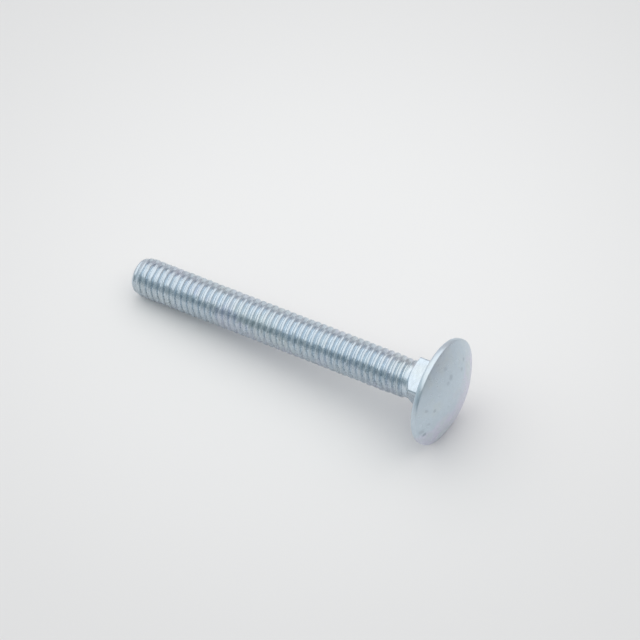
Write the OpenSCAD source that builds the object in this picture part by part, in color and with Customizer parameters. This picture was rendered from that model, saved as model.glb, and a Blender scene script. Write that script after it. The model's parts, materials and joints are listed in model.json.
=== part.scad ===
// Carriage bolt: a shallow domed head over a square neck, on a shank threaded almost
// to the neck. It is cold formed and thread rolled from one length of wire, so it is
// one solid. It lies on a level floor at z = 0, on the rim of its head and on the last
// thread crest near its end, with the head towards +X.

/* [Head] */
// Diameter of the head
head_d = 15.6; // [13:0.1:18]
// Height of the head, from its flat underside to the top of the dome
head_h = 3.05; // [2.5:0.05:4]
// Height of the upright rim that the dome springs from
rim_h = 0.85; // [0.5:0.05:1.2]
// Radius of the rounded edges of the rim
rim_round = 0.2; // [0.05:0.05:0.24]

/* [Square neck] */
// Width of the neck across its flats
neck_w = 5.5; // [5.3:0.1:7]
// Diameter that the corners of the neck are rounded to
neck_corner_d = 7.4; // [7:0.05:7.6]
// Length of the neck at its corners, from the head to the start of their taper
neck_h = 3.6; // [2:0.1:5]
// Angle between the corners' taper and the axis of the bolt
neck_taper = 60; // [30:1:75]

/* [Thread] */
// Outer diameter of the thread, over its crests
thread_d = 5.8; // [5.2:0.05:6.2]
// Distance from one crest to the next
pitch = 1; // [0.7:0.05:1.25]
// Distance from the head to the start of the thread
thread_start = 4.2; // [4:0.1:20]
// Length over which the thread grows to its full depth, in pitches
run_in = 1.5; // [1:0.25:4]
// Angle about the axis, from one of the neck's flats, of the crest at the thread's start
thread_turn = 227; // [0:1:359]

/* [End] */
// Length of the bolt from the underside of the head to its end
length = 49.3; // [30:0.1:90]
// Diameter of the flat face at the end
end_d = 4.6; // [3.5:0.05:5]
// Angle between the end's chamfer and the axis of the bolt
end_taper = 40; // [30:1:60]

/* [Rest] */
// Turn of the bolt about its own axis as it lies
roll = 17; // [-180:1:180]

/* [Hidden] */
$fn = 96;
zinc = [0.69, 0.74, 0.79];
// How far a piece reaches into the next one, so that the two become one
overlap = 0.5;

// Head: the dome is part of a ball, which passes through the rim's top edge
head_r = head_d / 2;
dome_rise = head_h - rim_h;
dome_r = (head_r * head_r + dome_rise * dome_rise) / (2 * dome_rise);

// Shank: a rolled thread raises its crests as far as it sinks its roots, so the plain
// part has the pitch diameter, half way down the flanks of a full 60 degree thread
sharp_depth = pitch * sqrt(3) / 2;
shank_r = (thread_d - 0.75 * sharp_depth) / 2;
crest_r = thread_d / 2;
// The crests are cut off by an eighth of the sharp thread and the roots by a sixth
root_r = crest_r - sharp_depth * (1 - 1 / 8 - 1 / 6);
crest_flat = pitch / 8;
root_flat = pitch / 6;
flank = (pitch - crest_flat - root_flat) / 2;

// Neck: its corners taper down to the plain shank
neck_corner_r = neck_corner_d / 2;
neck_end = neck_h + (neck_corner_r - shank_r) / tan(neck_taper);

// Thread: one sweep of the profile's corners [distance from a crest's middle, radius].
// It has 24 facets a turn, or fewer where the whole thread would have more than 1300
segments = min(24, floor(1300 * pitch / (length - thread_start)));
half_crest = crest_flat / 2;
profile = [
    [-half_crest, crest_r],
    [half_crest, crest_r],
    [half_crest + flank, root_r],
    [half_crest + flank + root_flat, root_r]
];
// The sweep begins inside the shank, just under its surface, and passes the end
sunk_r = shank_r - 0.02;
sweep_start = thread_start - 2 * pitch;
steps = ceil((length + 1.5 * pitch - sweep_start) / pitch * segments);

// End: the chamfer's length, and the last crest on the side that touches the floor
end_r = end_d / 2;
chamfer_h = (crest_r - end_r) / tan(end_taper);
floor_side = (thread_turn + roll) / 360;
whole_turns = floor((length - chamfer_h - half_crest - sweep_start) / pitch - floor_side);
last_crest = sweep_start + half_crest + pitch * (whole_turns + floor_side);

// Rest: the bolt leans from the rounded edge of its head down to the last crest
lean_rise = head_r - rim_round - crest_r;
lean_run = last_crest + rim_round;
lean = acos(-rim_round / norm([lean_rise, lean_run])) - atan2(lean_run, lean_rise);
seat_z = rim_round + (head_r - rim_round) * cos(lean) - rim_round * sin(lean);
// Reach along X of the dome and of the end, from the centre of the head's underside
reach_front = (head_h - dome_r) * cos(lean) + dome_r;
reach_back = length * cos(lean) + end_r * sin(lean);

// Points of a round stretch about c, from one angle to another
function arc(c, r, from, to, n = 6) =
    [for (i = [0:n]) let (a = from + (to - from) * i / n) c + r * [cos(a), sin(a)]];

// Depth of the thread at distance s from the head, as a share of its full depth
function growth(s) = min(1, max(0, (s - thread_start) / (run_in * pitch)));

// Corner j of the profile after i steps of the sweep, with the head above
function thread_point(i, j) = let (
    s = sweep_start + pitch * i / segments + profile[j][0],
    r = sunk_r + (profile[j][1] - sunk_r) * growth(s),
    a = thread_turn - 360 * i / segments
) [r * cos(a), r * sin(a), -s];

// Number of that point, where corner 4 is corner 0 of the next turn
function id(i, j) = j < 4 ? 4 * i + j : 4 * (i + segments);

// Right-hand thread as one closed surface: four strips wound about the axis, with a
// fan of facets from the axis over the open turn at each end
module thread() {
    points = [for (i = [0:steps]) for (j = [0:3]) thread_point(i, j)];
    top = len(points);
    bottom = top + 1;
    top_point = [0, 0, -sweep_start];
    bottom_point = [0, 0, -sweep_start - pitch * (steps / segments + 0.5)];
    last_turn = steps - segments;
    strips = [
        for (i = [0:steps - 1]) for (j = [0:3]) if (j < 3 || i < last_turn)
            each [[id(i, j), id(i + 1, j + 1), id(i + 1, j)],
                  [id(i, j), id(i, j + 1), id(i + 1, j + 1)]]
    ];
    top_fan = [
        for (i = [0:segments - 1]) [top, id(i, 0), id(i + 1, 0)],
        for (j = [0:3]) [top, id(0, j + 1), id(0, j)]
    ];
    bottom_fan = [
        for (i = [last_turn:steps - 1]) [bottom, id(i + 1, 3), id(i, 3)],
        for (j = [0:2]) [bottom, id(steps, j), id(steps, j + 1)],
        [bottom, id(last_turn, 3), id(steps, 0)]
    ];
    polyhedron(concat(points, [top_point, bottom_point]), concat(strips, top_fan, bottom_fan));
}

// Head: a flat underside and a rounded rim, under part of a ball
module head() {
    top_edge = rim_h - rim_round;
    intersection() {
        translate([0, 0, head_h - dome_r]) sphere(dome_r);
        rotate_extrude() polygon(concat(
            [[0, 0]],
            arc([head_r - rim_round, rim_round], rim_round, -90, 0),
            arc([head_r - rim_round, top_edge], rim_round, 0, 60),
            [[head_r - rim_round, head_h], [0, head_h + overlap]]
        ));
    }
}

// Square neck: flats on four sides, with the corners rounded and tapered off
module neck() {
    reach = neck_end - neck_h;
    intersection() {
        translate([-neck_w / 2, -neck_w / 2, -neck_end])
            cube([neck_w, neck_w, neck_end + overlap]);
        rotate_extrude() polygon([
            [0, overlap],
            [neck_corner_r, overlap],
            [neck_corner_r, -neck_h],
            [neck_corner_r - reach * tan(neck_taper), -neck_end],
            [0, -neck_end]
        ]);
    }
}

// Plain shank, from inside the neck to where the thread starts
module shank() {
    translate([0, 0, -thread_start]) cylinder(r = shank_r, h = thread_start);
}

// Threaded length, cut to a chamfer and a flat face at its end
module threaded_end() {
    clear_r = crest_r + overlap;
    clear_h = (clear_r - end_r) / tan(end_taper);
    intersection() {
        thread();
        rotate_extrude() polygon([
            [0, 0],
            [clear_r, 0],
            [clear_r, clear_h - length],
            [end_r, -length],
            [0, -length]
        ]);
    }
}

// The whole bolt about its own axis, with the head's underside at z = 0
module bolt() {
    head();
    neck();
    shank();
    threaded_end();
}

// The bolt as it lies, with the middle of its outline on the floor at the origin
module carriage_bolt() {
    color(zinc)
        translate([(reach_back - reach_front) / 2, 0, seat_z])
            rotate([0, 90 - lean, 0])
                rotate([0, 0, roll])
                    bolt();
}

carriage_bolt();
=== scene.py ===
"""Looks of a zinc-plated carriage bolt: its finished surface, the floor, the light and the camera."""
import json
import math

import bpy
import numpy as np
from mathutils import Matrix, Vector


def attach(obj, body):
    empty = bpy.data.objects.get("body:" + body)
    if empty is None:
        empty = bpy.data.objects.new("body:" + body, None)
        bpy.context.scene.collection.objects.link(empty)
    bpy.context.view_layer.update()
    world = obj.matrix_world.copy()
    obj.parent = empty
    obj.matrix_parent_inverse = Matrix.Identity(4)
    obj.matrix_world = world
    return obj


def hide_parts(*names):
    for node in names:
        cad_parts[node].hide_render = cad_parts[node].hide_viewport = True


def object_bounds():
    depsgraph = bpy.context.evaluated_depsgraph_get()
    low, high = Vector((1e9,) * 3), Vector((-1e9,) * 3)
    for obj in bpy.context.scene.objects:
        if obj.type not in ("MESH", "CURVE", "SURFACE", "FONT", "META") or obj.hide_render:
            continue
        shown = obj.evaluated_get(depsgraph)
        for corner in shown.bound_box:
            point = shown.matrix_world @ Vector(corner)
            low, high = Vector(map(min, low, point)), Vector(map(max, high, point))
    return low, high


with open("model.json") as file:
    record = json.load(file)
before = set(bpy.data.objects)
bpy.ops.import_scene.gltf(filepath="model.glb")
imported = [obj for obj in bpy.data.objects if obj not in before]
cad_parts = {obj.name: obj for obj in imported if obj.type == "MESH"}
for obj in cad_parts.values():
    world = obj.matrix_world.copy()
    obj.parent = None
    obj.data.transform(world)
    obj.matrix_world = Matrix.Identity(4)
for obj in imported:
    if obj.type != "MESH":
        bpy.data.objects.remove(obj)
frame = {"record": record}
CAD_LOW, CAD_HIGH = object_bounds()

# ---------------------------------------------------------------- sizes, in millimetres
# s is the distance from the head's flat underside towards the end, and a is the angle
# about the axis from one of the neck's flats. A right-hand thread moves on as a falls.
# Sizes that the record doesn't state follow the CAD model. What is uneven is the skin's own.
MM = 0.001
MOUNTS = {mount["name"]: mount for mount in frame["record"]["mounts"]}
FACE, NECK, THREAD = MOUNTS["bearing_face"], MOUNTS["square_neck"], MOUNTS["thread"]
AXIS = -Vector(THREAD["axis"])
END_CENTRE = Vector(THREAD["pos_m"])
LENGTH = (Vector(FACE["pos_m"]) - END_CENTRE).dot(AXIS) / MM
HEAD_CENTRE = END_CENTRE + AXIS * LENGTH * MM
# The skin's outline keeps this far inside the CAD model's
SKIN = 0.012
CREST_R = THREAD["dims"]["r_mm"] - SKIN
HEAD_R = (CAD_HIGH.y - CAD_LOW.y) / 2 / MM - SKIN
NECK_H = NECK["dims"]["length_mm"]
# Turn of the bolt about its own axis as it lies
ROLL = math.radians(17)

# Head: the rim is widest at RIM_BULGE_H, where it stands out past the edge of the underside
HEAD_H = 3.05 - SKIN
RIM_H = 0.83
RIM_BULGE = 0.2
RIM_BULGE_H = 0.58
RIM_TOP_ROUND = 0.28
FACE_R = HEAD_R - RIM_BULGE
# Neck: forging leaves its end a little askew, with a steep shoulder at one corner
NECK_W = 5.5
NECK_CORNER_R = 3.7
NECK_FILLET = 0.2
NECK_END = NECK_H + 0.05
NECK_SKEW = 0.28
NECK_SKEW_TOWARDS = math.radians(121)
SHOULDER = 0.75
SHOULDER_CHANGE = 0.45
SHOULDER_STEEP_AT = math.radians(135)
# How softly the neck's own edges turn, and its foot into the shank
NECK_SOFT = 0.12
FOOT_SOFT = 0.1
# Thread: its crest's middle is at distance CREST_START where the angle is CREST_TURN
PITCH = 1.0
CREST_START = 4.2
CREST_TURN = math.radians(227)
SHARP_DEPTH = PITCH * math.sqrt(3) / 2
# The plain shank has the pitch diameter, half way down the flanks
SHANK_R = CREST_R - 0.375 * SHARP_DEPTH
# The rounded crests and roots leave a little less than the full depth
DEPTH_LEFT = 0.9
ROOT_R = CREST_R - SHARP_DEPTH * (1 - 1 / 8 - 1 / 6) * DEPTH_LEFT
# Run-in: most of the depth comes between two distances, and the rest over a longer stretch
RUN_IN = (4.38, 4.66)
RUN_IN_SHARE = 0.75
RUN_IN_REST = 2.8
# Run-out: the share of the depth that fades, and between which distances
FADE = 0.8
FADE_AT = (LENGTH - 1.3, LENGTH - 0.5)
# The crests' mean wear, and the waves along them as (height, length of a wave, seed)
CREST_WEAR = 0.04
LONG_WAVE = (0.025, 1.4, 1)
SHORT_WAVE = (0.02, 0.45, 2)
# That wear is full up to the first of these distances from a crest's middle, in pitches, and
# none past the second
CREST_SPAN = (0.1, 0.32)
# The seam along the crests: its depth in mm and its half width in pitches, the wave by which
# it strays from their middle, and the wave by which it comes and goes about its mean
SEAM_DEPTH = 0.03
SEAM_WIDTH = 0.05
SEAM_STRAY = (0.05, 1.1, 3)
SEAM_GAPS = (1.0, 2.3, 4)
SEAM_MEAN = 0.3
# Towards the end the crests get blunter: between which distances, and what that adds to the
# power that the profile is raised to
BLUNT_AT = (34, 46)
BLUNT = 0.7
# End
END_R = 2.3
END_TAPER = math.radians(40)
END_SOFT = 0.06

# ---------------------------------------------------------------- the bolt's surface
# Names of what the mesh keeps for its material: each point's place on the upright bolt, in mm,
# and how far down the thread's flanks it lies
UPRIGHT = "upright_place"
ROOTS = "root_share"
# Columns of the mesh over each of the neck's four sides, and over the corner beside it
FLAT_COLUMNS = 24
CORNER_COLUMNS = 8
CORNER_SPAN = math.radians(10)
# The rows wind with the thread between these distances, and are plain rings beyond them
WOUND_FROM = 4.0
WOUND_TO = LENGTH - 0.9
# Rows of the mesh over one pitch, as distances from a crest's middle in pitches
HALF_ROWS = (0.05, 0.1, 0.15, 0.2, 0.38, 0.44)
ROWS = (0.0, *HALF_ROWS, *(1 - row for row in reversed(HALF_ROWS)))
# Half of the thread's profile: distance from the crest's middle in pitches, and share of depth
PROFILE_AT = (0.0, 0.05, 0.1, 0.15, 0.2, 0.38, 0.44, 0.5)
PROFILE_DEPTH = (0.0, 0.004, 0.018, 0.055, 0.17, 0.87, 0.97, 1.0)
# Number of random values that a wave along the thread is drawn from
KNOTS = 4096


def columns():
    """Angles of the mesh's columns, which fall as the thread moves on, closer over the corners."""
    flat = (math.pi / 2 - CORNER_SPAN) / FLAT_COLUMNS
    corner = CORNER_SPAN / CORNER_COLUMNS
    quarter = [flat] * FLAT_COLUMNS + [corner] * CORNER_COLUMNS
    steps = np.cumsum([0] + quarter * 4)[:-1]
    return (math.pi / 2 - CORNER_SPAN) / 2 - steps


def smooth_min(a, b, k):
    """Smaller of two values, eased over k where they are about the same."""
    h = np.clip(0.5 + 0.5 * (b - a) / k, 0, 1)
    return b * (1 - h) + a * h - k * h * (1 - h)


def smooth_max(a, b, k):
    """Larger of two values, eased in the same way."""
    return -smooth_min(-a, -b, k)


def smooth_step(x, low, high):
    """0 below low and 1 above high, with a smooth rise between."""
    h = np.clip((x - low) / (high - low), 0, 1)
    return h * h * (3 - 2 * h)


def wander(x, spacing, seed):
    """Smooth random value from -1 to 1 along x, with one knot for each spacing."""
    knots = np.random.default_rng(seed).uniform(-1, 1, KNOTS)
    i = np.floor(x / spacing).astype(int)
    f = x / spacing - i
    f = f * f * (3 - 2 * f)
    return knots[i % KNOTS] * (1 - f) + knots[(i + 1) % KNOTS] * f


def neck_radius(s, a):
    """Square neck with rounded corners, and the shoulder that ends it."""
    fold = (a + math.pi / 4) % (math.pi / 2) - math.pi / 4
    outline = smooth_min(NECK_W / 2 / np.cos(fold), NECK_CORNER_R, NECK_SOFT)
    end = NECK_END + NECK_SKEW * np.cos(a - NECK_SKEW_TOWARDS)
    shoulder = SHOULDER - SHOULDER_CHANGE * np.cos(a - SHOULDER_STEEP_AT)
    slope = (NECK_CORNER_R - SHANK_R) / shoulder
    cone = NECK_W / 2 - (s - end) * slope
    return smooth_min(outline, cone, NECK_SOFT)


def thread_profile(s, a):
    """Distance along the wound thread in mm, and from the nearest crest's middle in pitches."""
    phase = (s - CREST_START - PITCH * (CREST_TURN - a) / (2 * math.pi)) / PITCH
    turn = np.round(phase)
    return CREST_R * (2 * math.pi * turn - a), phase - turn


def thread_growth(s):
    """Share of the thread's depth at s, from its run-in to where it fades at the end."""
    rest = np.clip((s - RUN_IN[1]) / RUN_IN_REST, 0, 1)
    growth = RUN_IN_SHARE * smooth_step(s, *RUN_IN) + (1 - RUN_IN_SHARE) * rest
    return growth * (1 - FADE * smooth_step(s, *FADE_AT))


def wave(along, height, spacing, seed):
    """Uneven value along the wound thread, from -height to height."""
    return height * wander(along, spacing, seed)


def thread_radius(s, a):
    """Rolled thread: its crests vary in height, with a seam along them where the metal met."""
    along, off = thread_profile(s, a)
    blunt = 1 + BLUNT * smooth_step(s, *BLUNT_AT)
    depth = np.interp(np.abs(off), PROFILE_AT, PROFILE_DEPTH) ** blunt
    crest = 1 - smooth_step(np.abs(off), *CREST_SPAN)
    height = -CREST_WEAR + wave(along, *LONG_WAVE) + wave(along, *SHORT_WAVE)
    seam_at = wave(along, *SEAM_STRAY)
    seam = np.exp(-((off - seam_at) / SEAM_WIDTH) ** 2)
    seam = np.clip(SEAM_MEAN + wave(along, *SEAM_GAPS), 0, 1) * seam
    full = CREST_R - (CREST_R - ROOT_R) * depth + crest * height - SEAM_DEPTH * seam
    return SHANK_R + (full - SHANK_R) * thread_growth(s)


def shank_radius(s, a):
    """Radius at s and a: neck, plain shank, thread and chamfered end."""
    chamfer = END_R + (LENGTH - s) * math.tan(END_TAPER)
    thread = smooth_min(thread_radius(s, a), chamfer, END_SOFT)
    return smooth_max(neck_radius(s, a), thread, FOOT_SOFT)


def rounded(centre, reach, rise, start, end, count):
    """Points of a round or oval edge, as (radius, height), from one angle to another."""
    return [(centre[0] + reach * math.cos(a), centre[1] + rise * math.sin(a))
            for a in np.linspace(start, end, count)]


def head_rings():
    """Rings of the head as (radius, height), from the top of the dome to the flat underside."""
    rise = HEAD_H - RIM_H
    ball_r = (HEAD_R ** 2 + rise ** 2) / (2 * rise)
    ball_z = HEAD_H - ball_r
    edge_r = HEAD_R - RIM_TOP_ROUND
    # The rounded edge touches the dome where both have the same slope
    edge_z = ball_z + math.sqrt((ball_r - RIM_TOP_ROUND) ** 2 - edge_r ** 2)
    slope = math.atan2(edge_z - ball_z, edge_r)
    dome = [(ball_r * math.sin(t), ball_z + ball_r * math.cos(t))
            for t in np.linspace(0, math.pi / 2 - slope, 34)[1:-1]]
    top_edge = rounded((edge_r, edge_z), RIM_TOP_ROUND, RIM_TOP_ROUND, slope, 0, 7)
    low_edge = rounded((FACE_R, RIM_BULGE_H), RIM_BULGE, RIM_BULGE_H, 0, -math.pi / 2, 12)
    return dome + top_edge + low_edge


def thread_rows(angles, first, last):
    """Rows that wind with the thread from first to last, each held to that range at both ends."""
    start = CREST_START + PITCH * (CREST_TURN - angles[0]) / (2 * math.pi)
    start -= PITCH * math.ceil((start - first) / PITCH)
    share = (angles[0] - angles) / (2 * math.pi)
    rows = []
    while not rows or rows[-1].min() < last:
        turn, row = divmod(len(rows), len(ROWS))
        at = start + PITCH * (turn - 1 + ROWS[row] + share)
        rows.append(np.clip(at, first, last))
    return rows


def skin_rows(angles):
    """Radius and height of each row, and the row that each one runs into past the last column."""
    rows = []
    follows = []

    def add_row(radius, height, step=0):
        follows.append(len(rows) + step)
        rows.append(np.stack(np.broadcast_arrays(radius, height, angles)[:2]))

    for radius, height in head_rings():
        add_row(radius, height)
    # The flat underside, and the fillet between it and the neck
    foot = shank_radius(NECK_FILLET, angles) + NECK_FILLET
    for share in np.linspace(0, 1, 9)[1:]:
        add_row(FACE_R + (foot - FACE_R) * share, 0)
    for t in np.linspace(0, math.pi / 2, 5)[1:]:
        add_row(foot - NECK_FILLET * math.sin(t), -NECK_FILLET * (1 - math.cos(t)))
    # The neck, the thread, its end, and the flat face there
    for s in np.linspace(NECK_FILLET, WOUND_FROM, 44)[1:-1]:
        add_row(shank_radius(s, angles), -s)
    wound = thread_rows(angles, WOUND_FROM, WOUND_TO)
    final = len(rows) + len(wound) - 1
    for s in wound:
        step = min(len(ROWS), final - len(rows))
        add_row(shank_radius(s, angles), -s, step)
    for s in np.linspace(WOUND_TO, LENGTH, 16)[1:]:
        add_row(shank_radius(s, angles), -s)
    for share in (0.96, 0.85, 0.6, 0.3):
        add_row(END_R * share, -LENGTH)
    return rows, follows


def build_skin():
    """Points and faces of the skin, over its rows and over the middles of the dome and the end."""
    angles = columns()
    count = len(angles)
    rows, follows = skin_rows(angles)
    radius, height = np.stack(rows, axis=1)
    points = np.stack([radius * np.cos(angles), radius * np.sin(angles), height], axis=-1)
    ids = np.arange(points.shape[0] * count).reshape(-1, count)
    points = np.vstack([points.reshape(-1, 3), [[0, 0, HEAD_H], [0, 0, -LENGTH]]])
    # Past the last column each row goes on as the row that it runs into
    beside = np.hstack([ids[:, 1:], ids[follows, :1]])
    dome_top, end_middle = len(points) - 2, len(points) - 1
    faces = np.stack((ids[:-1], ids[1:], beside[1:], beside[:-1]), axis=-1).reshape(-1, 4)
    top_fan = np.stack((np.full(count, dome_top), ids[0], beside[0]), axis=-1)
    end_fan = np.stack((np.full(count, end_middle), beside[-1], ids[-1]), axis=-1)
    return merged(points, faces.tolist() + top_fan.tolist() + end_fan.tolist())


def merged(points, faces):
    """Points that coincide made one, and each face with the separate corners that are left."""
    _, kept, number = np.unique(np.round(points, 5), axis=0, return_index=True, return_inverse=True)
    number = number.reshape(-1)
    result = []
    for face in faces:
        corners = list(dict.fromkeys(int(number[corner]) for corner in face))
        if len(corners) > 2:
            result.append(corners)
    return points[kept], result


def root_share(points):
    """0 on the crests and away from the thread, and 1 in the thread's roots."""
    s, a = -points[:, 2], np.arctan2(points[:, 1], points[:, 0])
    _, off = thread_profile(s, a)
    on_side = smooth_step(LENGTH - s, 0, 0.5)
    return (0.5 - 0.5 * np.cos(2 * math.pi * off)) * thread_growth(s) * on_side


def make_bolt():
    """The skin where the CAD model lies, with what its material needs kept on the mesh."""
    points, faces = build_skin()
    tilt = Vector((0, 0, 1)).rotation_difference(AXIS).to_matrix().to_4x4()
    place = Matrix.Translation(HEAD_CENTRE) @ tilt @ Matrix.Rotation(ROLL, 4, "Z") @ Matrix.Scale(MM, 4)
    mesh = bpy.data.meshes.new("bolt_skin")
    mesh.from_pydata(points.tolist(), [], faces)
    mesh.transform(place)
    mesh.shade_smooth()
    upright = mesh.attributes.new(UPRIGHT, "FLOAT_VECTOR", "POINT")
    upright.data.foreach_set("vector", points.ravel())
    roots = mesh.attributes.new(ROOTS, "FLOAT", "POINT")
    roots.data.foreach_set("value", root_share(points))
    skin = bpy.data.objects.new("bolt_skin", mesh)
    bpy.context.scene.collection.objects.link(skin)
    return skin


# ---------------------------------------------------------------- materials
def add(tree, kind, inputs=None, **settings):
    """Adds a node, links each input that is a socket and sets each other one."""
    node = tree.nodes.new("ShaderNode" + kind)
    for name, value in settings.items():
        setattr(node, name, value)
    for name, value in (inputs or {}).items():
        if isinstance(value, bpy.types.NodeSocket):
            tree.links.new(value, node.inputs[name])
        else:
            node.inputs[name].default_value = value
    return node


def noise(tree, place, scale, detail=3.0, roughness=0.55):
    """Noise from 0 to 1 whose bumps are about 1 / scale wide."""
    inputs = {"Vector": place, "Scale": scale, "Detail": detail, "Roughness": roughness}
    return add(tree, "TexNoise", inputs).outputs["Fac"]


def remap(tree, value, low, high, to_low=0.0, to_high=1.0):
    """Value taken smoothly from one range to another, and held inside it."""
    inputs = {"Value": value, "From Min": low, "From Max": high, "To Min": to_low, "To Max": to_high}
    return add(tree, "MapRange", inputs, interpolation_type="SMOOTHSTEP").outputs["Result"]


def maths(tree, operation, *values):
    """Result of one operation on numbers and sockets."""
    return add(tree, "Math", dict(enumerate(values)), operation=operation).outputs["Value"]


def split(tree, vector):
    """The X, Y and Z of a vector."""
    node = add(tree, "SeparateXYZ", {0: vector})
    return node.outputs["X"], node.outputs["Y"], node.outputs["Z"]


def blend(tree, share, first, second):
    """Colour between two, each of them a socket or a constant."""
    inputs = {0: share, 6: first, 7: second}
    return add(tree, "Mix", inputs, data_type="RGBA").outputs[2]


def new_material(name):
    """A new material with its node tree and its shader."""
    material = bpy.data.materials.new(name)
    material.use_nodes = True
    return material, material.node_tree, material.node_tree.nodes["Principled BSDF"]


# Colours of the zinc plate, and of the scuffs on it
BLUE = (0.575, 0.66, 0.73, 1)
LILAC = (0.645, 0.645, 0.76, 1)
GREEN = (0.595, 0.665, 0.7, 1)
DULL = (0.41, 0.47, 0.53, 1)
# Share by which the mottle changes the plate's shade, by which wear darkens the crests, and by which
# painted shade darkens the lower side of the shank
MOTTLE = 0.065
WORN = 0.1
LOWER_SIDE_PAINTED_SHADE = 0.1
# Roughness of the plate, and what the head and the scuffs add
SATIN = (0.22, 0.33)
SATIN_MORE_ON_HEAD = 0.05
SATIN_MORE_IN_MARKS = 0.2
# Heights of the grain and depth of the scuffs, in mm
GRAIN_ON_SHANK = 0.021
GRAIN_ON_HEAD = 0.003
FINE_GRAIN = 0.001
MARK_DEPTH = 0.01
# Painted pool of light: the paper's colour is darker away from the middle of the light, as painted
# shade: colours, and distances in metres
PAPER_LIT = (0.862, 0.86, 0.854, 1)
PAPER_PAINTED_DIM = (0.739, 0.736, 0.732, 1)
PAINTED_POOL_MIDDLE = (-0.005, 0.018, 0)
PAINTED_POOL_FALLOFF = (0.01, 0.09)
# Scuffs on the dome: middle (x, y) and half size on the upright bolt, in mm, and how dark
SCUFFS = (
    (-4.1, 0.9, 0.45, 0.5),
    (-2.9, -4.0, 0.3, 0.55),
    (-4.0, -4.9, 0.3, 0.5),
    (-0.2, -6.8, 0.35, 0.9),
    (-1.2, -7.0, 0.5, 0.5),
    (-5.8, 1.1, 0.35, 0.4),
    (-4.0, 0.0, 0.35, 0.4),
    (-1.6, -5.7, 0.3, 0.35),
    (-2.5, 4.6, 0.35, 0.45),
    (-2.4, 3.2, 0.4, 0.45),
    (3.1, 2.2, 0.4, 0.4),
    (4.8, -2.9, 0.3, 0.4),
    (1.4, 5.9, 0.35, 0.4),
)


def scuffs(tree, place):
    """Mask of the small dull marks on the dome, with ragged edges."""
    ragged = noise(tree, place, 2.5, 2.0)
    ragged = maths(tree, "MULTIPLY_ADD", ragged, 1.2, -0.6)
    flat = add(tree, "VectorMath", {0: place, 1: (1, 1, 0)}, operation="MULTIPLY").outputs["Vector"]
    mask = 0.0
    for x, y, size, dark in SCUFFS:
        far = add(tree, "VectorMath", {0: flat, 1: (x, y, 0)}, operation="DISTANCE").outputs["Value"]
        far = maths(tree, "MULTIPLY_ADD", ragged, size, far)
        mask = maths(tree, "MAXIMUM", remap(tree, far, size * 1.3, size * 0.3, 0.0, dark), mask)
    _, _, height = split(tree, place)
    return maths(tree, "MULTIPLY", mask, remap(tree, height, 0.6, 0.9))


def zinc():
    """Bright zinc plate: blue-white with lilac and green, fine grained, worn on the crests, with
    painted shade on the lower side of the shank.
    """
    material, tree, shader = new_material("zinc_plate")
    place = add(tree, "Attribute", attribute_name=UPRIGHT).outputs["Vector"]
    roots = add(tree, "Attribute", attribute_name=ROOTS).outputs["Fac"]
    across, side, height = split(tree, place)
    on_head = remap(tree, height, -0.1, 0.1)
    # Shrunk along the axis, the grain runs round the shank
    stretched = add(tree, "VectorMath", {0: place, 1: (1, 1, 2.5)}, operation="MULTIPLY")
    round_grain = stretched.outputs["Vector"]

    def by_part(on_shank, at_head):
        """Value with one amount below the head and another on it."""
        return remap(tree, on_head, 0.0, 1.0, on_shank, at_head)

    # The plate's lilac lies mostly to one side, and its green in patches
    lilac = maths(tree, "MULTIPLY_ADD", across, 0.06, noise(tree, place, 0.25, 2.0))
    lilac = maths(tree, "MULTIPLY", remap(tree, lilac, 0.39, 0.69), by_part(0.5, 1.0))
    green = remap(tree, noise(tree, place, 0.3, 2.0), 0.45, 0.75)
    tint = blend(tree, green, blend(tree, lilac, BLUE, LILAC), GREEN)
    mottle = remap(tree, noise(tree, round_grain, 1.1, 4.0, 0.6), 0.3, 0.7, -MOTTLE, MOTTLE)
    mottle = maths(tree, "MULTIPLY_ADD", mottle, by_part(1.0, 0.28), 1.0)
    # The crests are a little worn, and painted shade darkens the lower side of the thread
    below_neck = remap(tree, height, -4.8, -4.2, WORN, 0.0)
    worn = maths(tree, "MULTIPLY", remap(tree, roots, 0.45, 0.05), below_neck)
    lower_side_shade = maths(tree, "MULTIPLY", remap(tree, side, -1.8, -2.7, 0.0, LOWER_SIDE_PAINTED_SHADE), by_part(1.0, 0.0))
    shade = maths(tree, "SUBTRACT", 1.0, maths(tree, "ADD", worn, lower_side_shade))
    shade = maths(tree, "MULTIPLY", mottle, shade)
    marks = scuffs(tree, place)
    colour = add(tree, "VectorMath", {0: tint, "Scale": shade}, operation="SCALE").outputs["Vector"]
    colour = blend(tree, marks, colour, DULL)
    tree.links.new(colour, shader.inputs["Base Color"])

    shader.inputs["Metallic"].default_value = 1
    satin = remap(tree, noise(tree, place, 2.2, 3.0), 0.3, 0.7, *SATIN)
    satin = maths(tree, "MULTIPLY_ADD", on_head, SATIN_MORE_ON_HEAD, satin)
    satin = maths(tree, "MULTIPLY_ADD", marks, SATIN_MORE_IN_MARKS, satin)
    tree.links.new(satin, shader.inputs["Roughness"])

    grain = noise(tree, round_grain, 1.8, 3.0, 0.6)
    fine = noise(tree, place, 7.0, 2.0, 0.5)
    bump = maths(tree, "MULTIPLY", grain, by_part(GRAIN_ON_SHANK, GRAIN_ON_HEAD))
    bump = maths(tree, "MULTIPLY_ADD", fine, FINE_GRAIN, bump)
    bump = maths(tree, "MULTIPLY_ADD", marks, -MARK_DEPTH, bump)
    bumped = add(tree, "Bump", {"Strength": 1.0, "Distance": MM, "Height": bump})
    tree.links.new(bumped.outputs["Normal"], shader.inputs["Normal"])
    return material


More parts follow.
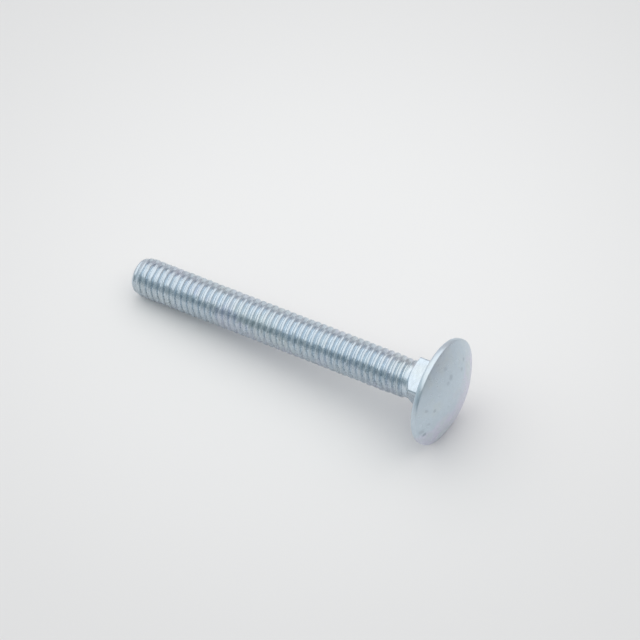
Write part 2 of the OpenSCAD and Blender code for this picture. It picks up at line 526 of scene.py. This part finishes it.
def paper_with_painted_pool():
    """White paper with a painted pool of light: its colour is a little darker away from the middle of
    the light.
    """
    material, tree, shader = new_material("paper_with_painted_pool")
    place = add(tree, "TexCoord").outputs["Object"]
    far = add(tree, "VectorMath", {0: place, 1: PAINTED_POOL_MIDDLE}, operation="DISTANCE").outputs["Value"]
    paper_and_pool = blend(tree, remap(tree, far, *PAINTED_POOL_FALLOFF), PAPER_LIT, PAPER_PAINTED_DIM)
    tree.links.new(paper_and_pool, shader.inputs["Base Color"])
    shader.inputs["Roughness"].default_value = 0.9
    shader.inputs["Specular IOR Level"].default_value = 0.2
    return material


bolt = make_bolt()
bolt.data.materials.append(zinc())
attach(bolt, "root")
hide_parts("carriage_bolt")


# ---------------------------------------------------------------- floor, light and camera
# Softbox: which way it lies, how far above level its soft edge begins and ends, and its strength
SOFTBOX_WAY = Vector((-0.1, 0.05, 1.0)).normalized()
SOFTBOX_EDGE = (math.radians(34.5), math.radians(43))
SOFTBOX_STRENGTH = 1.31
SOFTBOX_COLOUR = (1, 1, 1, 1)
# Walls: their strength, and what is added behind the bolt, towards +Y, and past its end
WALL_STRENGTH = 0.46
WALL_BEHIND = (0.0, 0.12, 0.0)
WALL_PAST_END = 0.45
WALL_COLOUR_FRONT = (0.86, 1.0, 1.06, 1)
WALL_COLOUR_BEHIND = (1.03, 1.0, 1.04, 1)


def make_floor(reach):
    """Square floor at z = 0, which reaches this far to each side."""
    mesh = bpy.data.meshes.new("floor")
    corners = [(-reach, -reach, 0), (reach, -reach, 0), (reach, reach, 0), (-reach, reach, 0)]
    mesh.from_pydata(corners, [], [(0, 1, 2, 3)])
    floor = bpy.data.objects.new("floor", mesh)
    bpy.context.scene.collection.objects.link(floor)
    floor.data.materials.append(paper_with_painted_pool())
    return floor


def light_room():
    """A wide soft light overhead, in a dimmer room that is lighter behind and past the bolt's end."""
    world = bpy.data.worlds.new("room")
    bpy.context.scene.world = world
    world.use_nodes = True
    tree = world.node_tree
    way = add(tree, "TexCoord").outputs["Generated"]
    along, across, _ = split(tree, way)
    rise = add(tree, "VectorMath", {0: way, 1: SOFTBOX_WAY}, operation="DOT_PRODUCT").outputs["Value"]
    share = remap(tree, rise, *(math.sin(angle) for angle in SOFTBOX_EDGE))

    behind = add(tree, "VectorMath", {0: way, 1: WALL_BEHIND}, operation="DOT_PRODUCT").outputs["Value"]
    past_end = maths(tree, "MINIMUM", along, 0.0)
    past_end = maths(tree, "MULTIPLY", maths(tree, "MULTIPLY", past_end, past_end), WALL_PAST_END)
    walls = maths(tree, "ADD", maths(tree, "ADD", behind, past_end), WALL_STRENGTH)
    wall_colour = blend(tree, remap(tree, across, -0.6, 0.6), WALL_COLOUR_FRONT, WALL_COLOUR_BEHIND)

    background = tree.nodes["Background"]
    tree.links.new(blend(tree, share, wall_colour, SOFTBOX_COLOUR), background.inputs["Color"])
    strength = remap(tree, share, 0.0, 1.0, walls, SOFTBOX_STRENGTH)
    tree.links.new(strength, background.inputs["Strength"])


def place_camera(azimuth, elevation, distance, lens, target):
    """Camera that looks at target from distance, azimuth 0 looking along +Y."""
    data = bpy.data.cameras.new("camera")
    data.lens = lens
    camera = bpy.data.objects.new("camera", data)
    bpy.context.scene.collection.objects.link(camera)
    a, e = math.radians(azimuth), math.radians(elevation)
    back = Vector((math.sin(a) * math.cos(e), -math.cos(a) * math.cos(e), math.sin(e)))
    camera.location = target + back * distance
    camera.rotation_mode = "QUATERNION"
    camera.rotation_quaternion = (-back).to_track_quat("-Z", "Y")
    bpy.context.scene.camera = camera


make_floor(3.0)
light_room()
# The camera looks just behind the middle of the bolt
target = Vector((HEAD_CENTRE.x - 0.02256, 0.00579, 0.003))
place_camera(azimuth=31.06, elevation=50.03, distance=0.4961, lens=197.0, target=target)
bpy.context.scene.view_settings.view_transform = "Standard"
